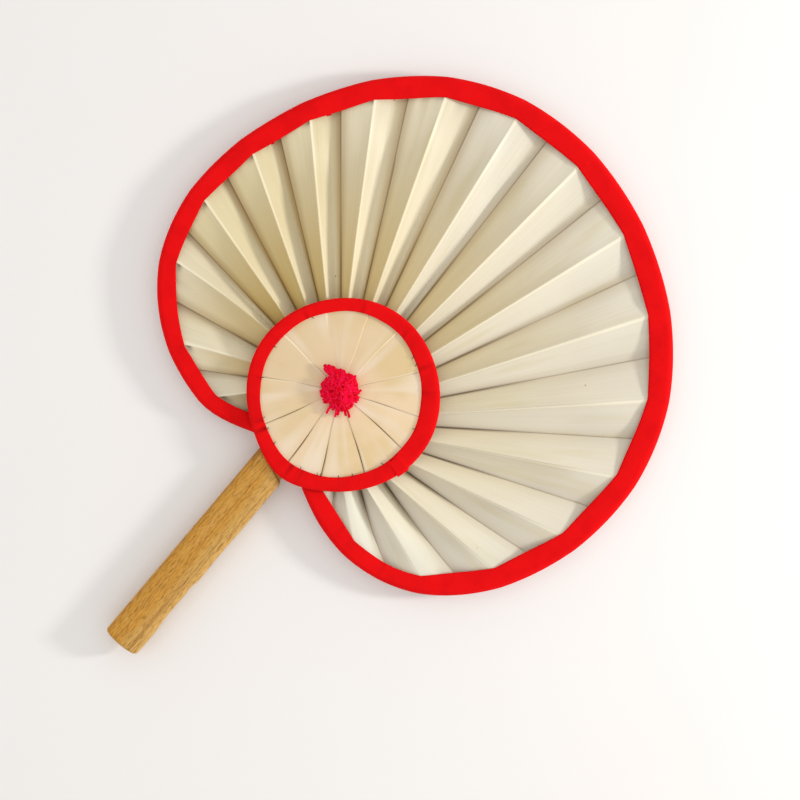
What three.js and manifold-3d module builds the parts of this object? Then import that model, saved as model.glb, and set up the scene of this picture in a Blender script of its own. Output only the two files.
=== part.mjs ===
// A palm leaf hand fan. Leaf strips, each folded along its midrib, stand side by side as pleats and
// spread from under the hub. Red cloth tape binds their rim. A rosette of lapped leaf wedges,
// edged with the same tape, closes each side of the hub, with the handle's tongue between them.
// A wool tuft is tied through the middle. Millimetres, +Z up: the fan lies on its back rosette,
// with its handle along -Y. Headings turn counter-clockwise from +Y about the hub's axis.
import * as THREE from 'three';
import { mergeVertices } from 'three/addons/utils/BufferGeometryUtils.js';
import Module from 'manifold-3d';

// Driving dimensions: the blade's rim, as a distance from the hub's axis at each heading
const rimMean = 118.1;
const rimReach = 60.8;
const rimReachHeading = -8.8;
const rimFlat = 7.6;
const rimNotch = 3.6;
const rimNotchHeading = -1;
const rimRipple = 1.5;
const rimRippleHeading = 16;
const rimFrom = 155;
const rimTo = -170;
const rimTuckIn = 8;
const rimTuckSpan = 24;
const rimEndTuck = 2.1;
const rimEndSpan = 22;

// Driving dimensions: the pleated leaf
const stripCount = 18.5;
const stripWaveFolds = 12;
const rimStripFrom = 12.7;
const rimStripTo = 11.4;
const rimStripGrowth = 0.078;
const rimStripWave = 6.9;
const rimStripPeak = 2.3;
const hubStripRadius = 44;
const hubStripTuck = 6;
const hubStripFrom = 137;
const hubStripTo = -155;
const hubStripWave = 5.1;
const hubStripPeak = 9.1;
const leafThickness = 0.45;
const hubPleat = 9;
const rimPleat = 4.4;
const pleatRise = 40;
const pleatFade = 1.5;
const faceBow = 0.6;

// Driving dimensions: the cloth tape
const tapeThickness = 0.8;
const tapeNose = 1.6;
const tapeWeb = 1.2;
const rimTapeWidth = 9.9;
const rimTapeFacet = 1.3;
const rimTapeWander = 1.5;
const rimWideHeading = -40;
const ringTapeWidth = 7.6;
const ringTapeWander = 1.2;
const ringWideHeading = -50;
const ringBulge = 2.8;
const ringBulgeHeading = 182;
const ringBulgeSpan = 19;
const ringBulgeWidth = 2;

// Driving dimensions: the hub's two rosettes and the tuft
const hubRadius = 48.3;
const wedgeSeams = [117.7, 84.4, 51.5, 21.9, -0.7, -33, -65.6, -91.8, -124, -154.9, -178.9, -208.9];
const wedgeLap = 6;
const wedgeTipRadius = 2.6;
const rosetteShiftX = -2.6;
const rosetteShiftY = 0.7;
const tuftRadius = 10.2;
const tuftHeight = 6.4;
const tuftCore = 7.4;
const yarnCount = 70;
const yarnThickness = 2;
const yarnTrim = 0.8;
const strayRise = 8;
const strayYarns = [[69, 15.5], [-175, 12], [-160, 12.5], [-124, 13]];
const tieRadius = 1.1;
const tieKnotRadius = 3.4;

// Driving dimensions: the handle
const handleX = -5.5;
const handleWidth = 19.5;
const handleLength = 117.3;
const handleEdge = 1.8;
const shoulderTuck = 1.3;
const shoulderSlant = 22;
const tongueWidth = 17;
const tongueStep = 0.8;
const tongueEnd = 8;

// Clearance between pieces that are sewn, tied or pressed together
const gap = 0.3;

// A seam is a wedge's free edge. Each wedge starts a lap behind the seam before its own.
const wedgeStarts = [wedgeSeams.at(-1) + 360, ...wedgeSeams.slice(0, -1)].map((seam) => seam + wedgeLap);
const narrowestWedge = Math.min(...wedgeSeams.map((seam, i) => wedgeStarts[i] - wedgeLap - seam));

// Heights that follow from the stack at the hub, counted from the blade's middle plane
const wedgeRise = leafThickness + gap;
const wedgeStack = wedgeRise * (1 + wedgeLap / narrowestWedge) + leafThickness;
const ringSlot = wedgeStack + 2 * gap;
const ringBase = hubPleat / 2 + gap;
const wedgeBase = ringBase + tapeThickness + gap;
const ringMiddle = ringBase + tapeThickness + ringSlot / 2;
const hubFace = ringBase + ringSlot + 2 * tapeThickness;
const wedgeRadius = hubRadius - tapeWeb - gap;

const radians = THREE.MathUtils.degToRad;
const lerp = THREE.MathUtils.lerp;
const smoothstep = THREE.MathUtils.smoothstep;

function heading(degrees, length = 1) {
  return new THREE.Vector2(0, length).rotateAround(new THREE.Vector2(), radians(degrees));
}

// Joins rings of points, all running the same way round, into one closed body. The cap is the
// section drawn flat and counter-clockwise; without one the last ring meets the first.
function loft(rings, cap) {
  const count = rings[0].length;
  const spans = cap ? rings.length - 1 : rings.length;
  const index = [];
  for (let i = 0; i < spans; i++) {
    const here = i * count;
    const next = ((i + 1) % rings.length) * count;
    for (let j = 0; j < count; j++) {
      const k = (j + 1) % count;
      index.push(here + j, next + j, next + k, here + j, next + k, here + k);
    }
  }
  if (cap) {
    const last = (rings.length - 1) * count;
    for (const [a, b, c] of THREE.ShapeUtils.triangulateShape(cap, [])) {
      index.push(a, b, c, last + c, last + b, last + a);
    }
  }
  const geometry = new THREE.BufferGeometry().setFromPoints(rings.flat());
  geometry.setIndex(index);
  return facingOut(geometry);
}

// Turns every triangle round if the body's signed volume is negative
function facingOut(geometry) {
  const index = geometry.index.array;
  const corner = (i) => new THREE.Vector3().fromBufferAttribute(geometry.attributes.position, index[i]);
  let volume = 0;
  for (let i = 0; i < index.length; i += 3) {
    volume += corner(i).dot(corner(i + 1).cross(corner(i + 2)));
  }
  if (volume < 0) {
    index.reverse();
  }
  return geometry;
}

const wasm = await Module();
wasm.setup();

function toSolid(geometry) {
  const bare = geometry.clone();
  bare.deleteAttribute('normal');
  bare.deleteAttribute('uv');
  const merged = mergeVertices(bare);
  return new wasm.Manifold(new wasm.Mesh({
    numProp: 3,
    vertProperties: new Float32Array(merged.attributes.position.array),
    triVerts: new Uint32Array(merged.index.array),
  }));
}

function toGeometry(solid) {
  const mesh = solid.getMesh();
  const geometry = new THREE.BufferGeometry();
  geometry.setAttribute('position', new THREE.BufferAttribute(mesh.vertProperties, mesh.numProp));
  geometry.setIndex(new THREE.BufferAttribute(mesh.triVerts, 1));
  return geometry;
}

const fan = new THREE.Group();

function addPiece(name, geometry, color, roughness) {
  const piece = new THREE.Mesh(geometry, new THREE.MeshStandardMaterial({ color, roughness, metalness: 0 }));
  piece.name = name;
  fan.add(piece);
}

const numbered = (name, i) => `${name}_${String(i + 1).padStart(2, '0')}`;

// The blade's rim is a circle pushed out ahead of the hub, flattened a little and drawn in at the
// handle: a mean distance with four waves on it. Both ends are tucked in under the ring.
class BladeRim extends THREE.Curve {
  getPoint(t, target = new THREE.Vector3()) {
    const at = lerp(rimFrom, rimTo, t);
    const fromNotch = radians(at - rimNotchHeading);
    const radius = rimMean + rimReach * Math.cos(radians(at - rimReachHeading))
      - rimFlat * Math.cos(2 * fromNotch) + rimNotch * Math.cos(3 * fromNotch)
      + rimRipple * Math.cos(5 * radians(at - rimRippleHeading));
    const tucked = rimTuckIn * smoothstep(at, rimFrom - rimTuckSpan, rimFrom)
      + rimEndTuck * (1 - smoothstep(at, rimTo, rimTo + rimEndSpan));
    const point = heading(at, radius - tucked);
    return target.set(point.x, point.y, 0);
  }
}

const rim = new BladeRim();
rim.arcLengthDivisions = 600;
const rimLength = rim.getLength();

// Where a fold reaches the rim, and at what heading it goes in under the hub. Folds count from the
// left end: a whole number is a valley between two strips, a half is the midrib along a strip's
// crest. Both ends go in even steps with a slow wave; on the rim strips also widen to the right.
const stripWave = (fold, peak) => Math.cos(2 * Math.PI * (fold - peak) / stripWaveFolds);

function rimShare(fold) {
  const share = fold / stripCount;
  const grown = share - rimStripGrowth * share * (1 - share);
  const wave = rimStripWave * stripWave(fold, rimStripPeak);
  return (lerp(rimStripFrom, rimLength - rimStripTo, grown) + wave) / rimLength;
}

function hubHeading(fold) {
  return lerp(hubStripFrom, hubStripTo, fold / stripCount) + hubStripWave * stripWave(fold, hubStripPeak);
}

// The rim tape's width where its inner edge meets a crest: wider on one side of the blade
function rimWidth(point) {
  const at = THREE.MathUtils.radToDeg(Math.atan2(-point.x, point.y));
  return rimTapeWidth + rimTapeWander * Math.cos(radians(at - rimWideHeading));
}

const zigzag = (fold) => 1 - 4 * Math.abs(fold - Math.floor(fold) - 0.5);

// The straight line of one fold from under the hub to the rim, in lengths along it: where the leaf
// starts, where it goes under the tape and where it ends inside the tape's fold
function foldLine(fold) {
  const share = rimShare(fold);
  const end = rim.getPointAt(share);
  const root = new THREE.Vector3(...heading(hubHeading(fold), hubStripRadius), 0);
  const along = end.clone().sub(root);
  const length = along.length();
  along.normalize();
  const tangent = rim.getTangentAt(share);
  const slant = Math.abs(along.x * tangent.y - along.y * tangent.x);
  return {
    root,
    along,
    start: -hubStripTuck,
    tape: length - (rimWidth(end) + rimTapeFacet + 2 * gap) / slant,
    end: length - (tapeWeb + 2 * gap) / slant,
  };
}

// One leaf strip from its left edge to its right edge, as folds. Sections step out along the fold
// lines; the pleat is as high as the hub's stack near the hub and eases down to the tape's fold.
const freeSteps = 9;
const tapedSteps = 2;
const faceSteps = 2;

function stripSection(left, right, step) {
  const place = (fold) => {
    const line = foldLine(fold);
    const free = Math.min(step / freeSteps, 1);
    const taped = Math.max(step - freeSteps, 0) / tapedSteps;
    const reach = taped > 0 ? lerp(line.tape, line.end, taped) : lerp(line.start, line.tape, free);
    return { line, reach, toTape: line.tape - reach };
  };
  const flat = (fold) => {
    const { line, reach } = place(fold);
    return line.root.clone().addScaledVector(line.along, reach);
  };
  const faces = Math.round((right - left) * 2);
  const run = flat(left).distanceTo(flat(right)) / faces;
  const edge = gap / 2 / (2 * run);
  const top = [];
  const bottom = [];
  for (let i = 0; i <= faces * faceSteps; i++) {
    const share = i / (faces * faceSteps);
    const fold = lerp(left + edge, right - edge, share);
    const { toTape } = place(fold);
    const fade = smoothstep(Math.min(fold, stripCount - fold), 0, pleatFade);
    const height = lerp(rimPleat, hubPleat, smoothstep(toTape, 0, pleatRise) * fade);
    const depth = leafThickness * Math.hypot(1, height / run);
    const bow = faceBow * smoothstep(toTape, 0, pleatRise) * (1 - zigzag(fold) ** 2);
    const point = flat(fold);
    point.z = zigzag(fold) * (height - depth) / 2 - bow;
    top.push(point.clone().setZ(point.z + depth / 2));
    bottom.push(point.clone().setZ(point.z - depth / 2));
  }
  return [...bottom, ...top.reverse()];
}

function sectionCap(ring) {
  const axis = ring[ring.length / 2 - 1].clone().sub(ring[0]).setZ(0).normalize();
  return ring.map((point) => new THREE.Vector2(point.clone().sub(ring[0]).dot(axis), point.z));
}

const tanLeaf = new THREE.Color(0xd8c797);
const creamLeaf = new THREE.Color(0xefe6cc);
const strips = Math.ceil(stripCount);
for (let i = 0; i < strips; i++) {
  const rings = [];
  for (let step = 0; step <= freeSteps + tapedSteps; step++) {
    rings.push(stripSection(i, Math.min(i + 1, stripCount), step));
  }
  const tone = tanLeaf.clone().lerp(creamLeaf, i / (strips - 1));
  addPiece(numbered('leaf_strip', i), loft(rings, sectionCap(rings[0])), tone, 0.55);
}

// Tape folded over an edge: two lips joined by a rounded nose, drawn as depth in from the nose and
// height, with the slot between the lips as high as what it grips
const noseSteps = 6;
const stopsPerStrip = 4;

function tapeSection(width, slot) {
  const inside = slot / 2;
  const outside = inside + tapeThickness;
  const points = [
    [width, -outside], [width, -inside], [tapeWeb, -inside],
    [tapeWeb, inside], [width, inside], [width, outside],
  ];
  for (let i = 0; i <= noseSteps; i++) {
    const turn = Math.PI * (0.5 + i / noseSteps);
    points.push([tapeNose * (1 + Math.cos(turn)), outside * Math.sin(turn)]);
  }
  return points.map(([depth, height]) => new THREE.Vector2(depth, height));
}

const red = 0xe4121a;
const clothRoughness = 0.75;

// The rim's tape. Its inner edge runs straight from crest to crest, so it is wider over a valley.
const rimSlot = rimPleat + 2 * gap;
const tapeStops = [0, rimShare(0) / 2];
for (let fold = 0; fold <= stripCount; fold += 1 / stopsPerStrip) {
  tapeStops.push(rimShare(fold));
}
tapeStops.push((1 + rimShare(stripCount)) / 2, 1);

const rimRings = tapeStops.map((share, i) => {
  const fold = THREE.MathUtils.clamp((i - 2) / stopsPerStrip, 0, stripCount);
  const fromCrest = (fold + 0.5) % 1;
  const nose = rim.getPointAt(share);
  const width = rimWidth(nose) + rimTapeFacet * 4 * fromCrest * (1 - fromCrest);
  const tangent = rim.getTangentAt(share);
  const inward = new THREE.Vector3(tangent.y, -tangent.x, 0);
  return tapeSection(width, rimSlot).map((point) => {
    return nose.clone().addScaledVector(inward, point.x).setZ(point.y);
  });
});
addPiece('rim_binding', loft(rimRings, tapeSection(rimTapeWidth, rimSlot)), red, clothRoughness);

// A rosette: leaf wedges lapped one over the next, clockwise, and the tape round their edge.
// The side is 1 for the front and -1 for the back.
const wedgeSteps = 6;
const wedgeStops = [0, 0.4, 1];
const ringSteps = 60;

function wedgeGeometry(start, seam, side) {
  const span = start - seam;
  const rings = wedgeStops.map((share) => {
    const upper = [];
    const lower = [];
    for (let i = 0; i <= wedgeSteps; i++) {
      const turn = span * i / wedgeSteps;
      const tip = heading(start - turn, wedgeTipRadius).add(new THREE.Vector2(rosetteShiftX, rosetteShiftY));
      const place = tip.lerp(heading(start - turn, wedgeRadius), share);
      const low = wedgeBase + wedgeRise * turn / (span - wedgeLap);
      lower.push(new THREE.Vector3(place.x, place.y, side * low));
      upper.push(new THREE.Vector3(place.x, place.y, side * (low + leafThickness)));
    }
    return [...lower, ...upper.reverse()];
  });
  const edge = rings.at(-1);
  const cap = edge.map((point, i) => {
    const across = Math.min(i, edge.length - 1 - i);
    return new THREE.Vector2(across, side * point.z);
  });
  return loft(rings, cap);
}

// The tape is wider on one side, and bulges where it is pulled over the handle's shoulder
function ringGeometry(side) {
  const rings = [];
  for (let i = 0; i < ringSteps; i++) {
    const at = 360 * i / ringSteps;
    const fromWide = radians(at - ringWideHeading);
    const wander = ringTapeWander * (Math.cos(fromWide) + Math.cos(2 * fromWide) / 2);
    const bulged = Math.exp(-(((at - ringBulgeHeading) / ringBulgeSpan) ** 2));
    const width = ringTapeWidth + wander + ringBulgeWidth * bulged;
    rings.push(tapeSection(width, ringSlot).map((point) => {
      const place = heading(at, hubRadius + ringBulge * bulged - point.x);
      return new THREE.Vector3(place.x, place.y, side * ringMiddle + point.y);
    }));
  }
  return loft(rings);
}

for (const [name, side] of [['front', 1], ['back', -1]]) {
  wedgeSeams.forEach((seam, i) => {
    const wedge = wedgeGeometry(wedgeStarts[i], seam, side);
    addPiece(numbered(`${name}_leaf_wedge`, i), wedge, 0xe8d0aa, 0.5);
  });
  addPiece(`${name}_ring_binding`, ringGeometry(side), red, clothRoughness);
}

// The handle: a rounded bar with softened ends, as thick as the space between the rosettes, shouldered
// down to a flat tongue with a hole for the tuft's tie. The shoulder is sawn on a slant, and its near
// corner is tucked in between the two rings, where they have half of their bulge.
const handleThickness = hubPleat;
const tongueThickness = handleThickness - 2 * tongueStep;
const barRound = 3.6;
const tongueRound = 7;
const barSides = 28;
const slope = Math.tan(radians(shoulderSlant));
const nearCorner = handleWidth / 2 - handleEdge;
const cornerRadius = hubRadius + ringBulge / 2 - shoulderTuck;
const cornerDrop = Math.sqrt(cornerRadius ** 2 - (handleX - nearCorner) ** 2);
const handleShoulder = -cornerDrop - slope * nearCorner;
const handleEnd = handleShoulder - handleLength;

function barRing(y, width, thickness, round, slant = 0) {
  const ring = [];
  for (let i = 0; i < barSides; i++) {
    const turn = 2 * Math.PI * i / barSides;
    const x = Math.sign(Math.cos(turn)) * Math.abs(Math.cos(turn)) ** (2 / round) * width / 2;
    const z = Math.sign(Math.sin(turn)) * Math.abs(Math.sin(turn)) ** (2 / round) * thickness / 2;
    ring.push(new THREE.Vector3(handleX + x, y - slant * x, z));
  }
  return ring;
}

// Steps of a quarter-round edge: how far in from the end, and how much is off each side
const edgeSteps = [0, 1, 2, 3].map((i) => {
  const turn = radians(30 * i);
  return { along: handleEdge * (1 - Math.cos(turn)), off: handleEdge * (1 - Math.sin(turn)) };
});
const barRings = [
  ...edgeSteps.map(({ along, off }) => {
    return barRing(handleEnd + along, handleWidth - 2 * off, handleThickness - 2 * off, barRound);
  }),
  ...edgeSteps.toReversed().map(({ along, off }) => {
    const width = handleWidth - 2 * off;
    return barRing(handleShoulder - along, width, handleThickness - 2 * off, barRound, slope);
  }),
  barRing(handleShoulder, tongueWidth, tongueThickness, tongueRound, slope),
  barRing(tongueEnd - handleEdge, tongueWidth, tongueThickness, tongueRound),
  barRing(tongueEnd, tongueWidth - 2 * handleEdge, tongueThickness, tongueRound),
];
const barCap = barRings[0].map((point) => new THREE.Vector2(point.x, point.z));

const roundSteps = 16;
const holeRadius = tieRadius + gap;
const tieHole = new THREE.CylinderGeometry(holeRadius, holeRadius, 2 * hubPleat, roundSteps);
tieHole.rotateX(Math.PI / 2);
tieHole.translate(rosetteShiftX, rosetteShiftY, 0);
const bar = toSolid(loft(barRings, barCap)).subtract(toSolid(tieHole));
addPiece('handle', toGeometry(bar), 0xbd8a45, 0.6);

// The tie: a cord through both rosettes and the tongue, knotted flat behind and held in the tuft
const wool = 0xe01850;
const woolRoughness = 0.95;
const wedgeFace = wedgeBase + wedgeStack - gap;
const tieTop = wedgeFace + gap;
const tieProfile = [
  [0, -hubFace + gap], [tieKnotRadius - tapeThickness, -hubFace + gap], [tieKnotRadius, -wedgeFace - gap],
  [tieRadius, -wedgeFace - gap], [tieRadius, tieTop], [0, tieTop],
];
const tie = new THREE.LatheGeometry(tieProfile.map(([x, y]) => new THREE.Vector2(x, y)), roundSteps);
tie.rotateX(Math.PI / 2);
tie.translate(rosetteShiftX, rosetteShiftY, 0);
addPiece('tuft_tie', tie, wool, woolRoughness);

// The tuft: cut yarn ends standing out all round a core, spaced by the golden angle, with a few
// strays that were never trimmed, all pressed down to a low dome
const tuftBase = tieTop + gap;
const goldenAngle = 180 * (3 - Math.sqrt(5));
const yarnSides = 4;

function yarn(at, rise, length) {
  const geometry = new THREE.CylinderGeometry(yarnThickness / 2, yarnThickness / 4, length, yarnSides);
  geometry.translate(0, length / 2, 0);
  geometry.rotateX(radians(rise));
  geometry.rotateZ(radians(at));
  return toSolid(geometry);
}

let tuft = toSolid(new THREE.SphereGeometry(tuftCore, roundSteps, roundSteps / 2));
for (let i = 0; i < yarnCount; i++) {
  const rise = THREE.MathUtils.radToDeg(Math.asin((i + 0.5) / yarnCount));
  const length = tuftRadius - yarnTrim * (i % 3) / 2;
  tuft = tuft.add(yarn(goldenAngle * i, rise, length));
}
for (const [at, length] of strayYarns) {
  tuft = tuft.add(yarn(at, strayRise, length));
}
const below = new THREE.BoxGeometry(4 * tuftRadius, 4 * tuftRadius, 2 * tuftRadius);
below.translate(0, 0, -tuftRadius);
const tuftGeometry = toGeometry(tuft.subtract(toSolid(below)));
tuftGeometry.scale(1, 1, tuftHeight / tuftRadius);
tuftGeometry.translate(rosetteShiftX, rosetteShiftY, tuftBase);
addPiece('tuft', tuftGeometry, wool, woolRoughness);

// Stands the fan on its back rosette, with the origin under the middle of its box
const box = new THREE.Box3().setFromObject(fan);
const middle = box.getCenter(new THREE.Vector3());
fan.position.set(-middle.x, -middle.y, -box.min.z);

export default fan;
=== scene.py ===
import bpy
import numpy as np
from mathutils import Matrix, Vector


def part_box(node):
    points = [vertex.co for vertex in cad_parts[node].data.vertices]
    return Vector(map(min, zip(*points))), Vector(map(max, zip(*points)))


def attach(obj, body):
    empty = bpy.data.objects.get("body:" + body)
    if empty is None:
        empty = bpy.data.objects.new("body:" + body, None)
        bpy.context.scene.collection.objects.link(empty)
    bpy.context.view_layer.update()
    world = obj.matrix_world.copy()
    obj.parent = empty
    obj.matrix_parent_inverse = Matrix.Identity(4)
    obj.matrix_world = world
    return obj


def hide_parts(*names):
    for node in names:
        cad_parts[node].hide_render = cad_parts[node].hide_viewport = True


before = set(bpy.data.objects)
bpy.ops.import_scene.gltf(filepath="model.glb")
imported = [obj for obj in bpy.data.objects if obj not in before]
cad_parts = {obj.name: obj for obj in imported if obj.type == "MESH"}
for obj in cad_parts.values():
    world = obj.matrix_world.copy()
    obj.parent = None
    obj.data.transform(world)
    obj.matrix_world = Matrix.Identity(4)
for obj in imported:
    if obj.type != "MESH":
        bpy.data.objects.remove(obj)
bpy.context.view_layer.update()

# The blade. Strips of dried palm leaf, each folded up along its midrib, lie edge over edge like a row
# of low roofs. They spread from between the hub's rosettes to the rim, where tape holds them.
mm = 0.001
hub_low, hub_high = np.array(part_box("front_ring_binding"))
hub_radius = (hub_high - hub_low)[0] / 2
hub = np.array([hub_low[0] + hub_radius, hub_high[1] - hub_radius])
rim_low, rim_high = np.array(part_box("rim_binding"))
blade_level = (rim_low + rim_high)[2] / 2

rim_from, rim_to = 155, -170
rim_mean = 118.1 * mm
rim_reach, rim_reach_heading = 60.8 * mm, -8.8
rim_flat, rim_notch, rim_notch_heading = 7.6 * mm, 3.6 * mm, -1
rim_ripple, rim_ripple_heading = 1.5 * mm, 16
rim_tuck_in, rim_tuck_span = 8 * mm, 24
rim_end_tuck, rim_end_span = 2.1 * mm, 22
rim_points = 3001


def ease(value):
    """Runs smoothly from 0 to 1 as the value does, and stays there outside."""
    share = np.clip(value, 0, 1)
    return share * share * (3 - 2 * share)


def hump(off, width):
    """A soft hump: 1 at no distance, and nearly 0 at two widths from there."""
    return np.exp(-((off / width) ** 2))


def unit(vectors):
    """Vectors brought to length one."""
    return vectors / np.linalg.norm(vectors, axis=-1, keepdims=True)


def heading(degrees):
    """Unit vectors on the fan's plane, at headings counted anticlockwise from +Y."""
    turn = np.radians(degrees)
    return np.stack([-np.sin(turn), np.cos(turn)], -1)


def rim_radius(at):
    """The rim's distance from the hub: a mean with four waves on it, less the tucks of both ends."""
    from_notch = np.radians(at - rim_notch_heading)
    waves = rim_reach * np.cos(np.radians(at - rim_reach_heading))
    waves = waves - rim_flat * np.cos(2 * from_notch) + rim_notch * np.cos(3 * from_notch)
    waves = waves + rim_ripple * np.cos(5 * np.radians(at - rim_ripple_heading))
    tucks = rim_tuck_in * ease((at - rim_from + rim_tuck_span) / rim_tuck_span)
    tucks = tucks + rim_end_tuck * (1 - ease((at - rim_to) / rim_end_span))
    return rim_mean + waves - tucks


rim_headings = np.linspace(rim_from, rim_to, rim_points)
rim_line = hub + heading(rim_headings) * rim_radius(rim_headings)[:, None]
rim_steps = np.linalg.norm(np.diff(rim_line, axis=0), axis=1)
rim_run = np.concatenate([[0], np.cumsum(rim_steps)])
rim_length = rim_run[-1]
rim_along = np.gradient(rim_line, rim_run, axis=0)


def on_rim(run):
    """The rim's point and the unit normal into the blade, at a length along it from the left end."""
    point = np.stack([np.interp(run, rim_run, rim_line[:, k]) for k in (0, 1)], -1)
    along = np.stack([np.interp(run, rim_run, rim_along[:, k]) for k in (0, 1)], -1)
    return point, unit(np.stack([along[..., 1], -along[..., 0]], -1))


strip_count, strip_wave_folds = 18.5, 12
rim_strip_from, rim_strip_to, rim_strip_growth = 12.7 * mm, 11.4 * mm, 0.078
rim_strip_wave, rim_strip_peak = 6.9 * mm, 2.3
hub_strip_radius, hub_strip_tuck = 44 * mm, 6 * mm
hub_strip_from, hub_strip_to = 137, -155
hub_strip_wave, hub_strip_peak = 5.1, 9.1


def strip_wave(fold, peak):
    """The slow wave of wider and narrower strips."""
    return np.cos(2 * np.pi * (fold - peak) / strip_wave_folds)


def fold_run(fold):
    """How far along the rim a fold ends: even steps that grow to the right, with a slow wave."""
    share = fold / strip_count
    grown = share - rim_strip_growth * share * (1 - share)
    steps = rim_strip_from + (rim_length - rim_strip_to - rim_strip_from) * grown
    return steps + rim_strip_wave * strip_wave(fold, rim_strip_peak)


def fold_root(fold):
    """Where a fold goes in under the hub: even steps round a circle, with a slow wave."""
    steps = hub_strip_from + (hub_strip_to - hub_strip_from) * fold / strip_count
    return hub + heading(steps + hub_strip_wave * strip_wave(fold, hub_strip_peak)) * hub_strip_radius


leaf_thickness = 0.45 * mm
hub_pleat, rim_pleat = 9.6 * mm, 4.4 * mm
pleat_rise, pleat_fade, end_pleat = 40 * mm, 2.2, 0.4
tape_reach, tape_web = 12 * mm, 1.8 * mm
edge_step, underlap = 0.6 * mm, 0.03
lean_middle, lean_width, hub_lean = 5.6, 1.5, 0.2
crest_roots, crest_tips = {2: 0.24}, {1: -0.15}
fade_strips = 3
valley_shift, valley_lift, last_shifted = 0.1, 0.2, 12
bulge, sag = 1.35, 0.6
pinch, pinch_power, last_pinched = 0.3, 5, 14
lobe_shift, first_shifted, shift_strips = 0.4, 14, 2
buckle, buckle_short, buckle_long = 0.25 * mm, 9 * mm, 21 * mm
short_step, long_step, buckle_slant = 2.3, 1.1, 5
# A needle's dent, at least and at most: its place across, its length in mm and its share of the depth
needle_least, needle_most = (0.08, 4, -1), (0.92, 11, 0.6)
needle_count, needle_depth, needle_width, needle_offset = 5, 0.7 * mm, 0.07, 3
# Where the painted shadow beside a crest at the tape lies, how wide it is, where it starts across and
# the last strip that has it
tape_shadow_edge, tape_shadow_span, tape_shadow_from, last_tape_shadow = 1.7 * mm, 1.7 * mm, 0.3, 9
fibre_run = 10
face_columns, strip_rows = 18, 90


def surface(name, points, uv):
    """Joins a grid of points, rows by columns, into one smooth sheet of quads with a UV map."""
    rows, columns = points.shape[:2]
    index = np.arange(rows * columns).reshape(rows, columns)
    corners = [index[:-1, :-1], index[:-1, 1:], index[1:, 1:], index[1:, :-1]]
    mesh = bpy.data.meshes.new(name)
    mesh.from_pydata(points.reshape(-1, 3).tolist(), [], np.stack(corners, -1).reshape(-1, 4).tolist())
    of_loop = np.empty(len(mesh.loops), np.int32)
    mesh.loops.foreach_get("vertex_index", of_loop)
    mesh.uv_layers.new(name="surface").data.foreach_set(
        "uv", uv.reshape(-1, 2)[of_loop].astype(np.float32).ravel())
    mesh.shade_smooth()
    piece = bpy.data.objects.new(name, mesh)
    bpy.context.collection.objects.link(piece)
    return piece


def mark(piece, name, values):
    """Keeps one value for each point of a piece, for its material to read."""
    count = len(piece.data.vertices)
    spread = np.broadcast_to(np.asarray(values, np.float32).reshape(-1), (count,))
    kept = piece.data.attributes.new(name, "FLOAT", "POINT")
    kept.data.foreach_set("value", np.ascontiguousarray(spread))


def thicken(piece, thickness):
    """Gives a sheet its thickness, on the side that its faces turn away from."""
    wall = piece.modifiers.new("thickness", "SOLIDIFY")
    wall.thickness = thickness
    wall.offset = -1


def fit(piece, material, slot, *nodes):
    """Dresses a piece and sets it in the place of the nodes that it stands for."""
    piece.data.materials.append(material)
    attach(piece, "root")
    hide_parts(*nodes)


def edge_shift(order, reach):
    """How far a strip's first edge lies ahead of its even place, in folds: near the hub the strips of
    the last lobe lie further over those before them."""
    return lobe_shift * ease((order - first_shifted) / shift_strips) * (1 - reach) ** 4


def up_to(last, order):
    """A share that is 1 on the first strips and eases to 0 over the few before the last one."""
    return ease((last - order) / fade_strips)


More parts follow.
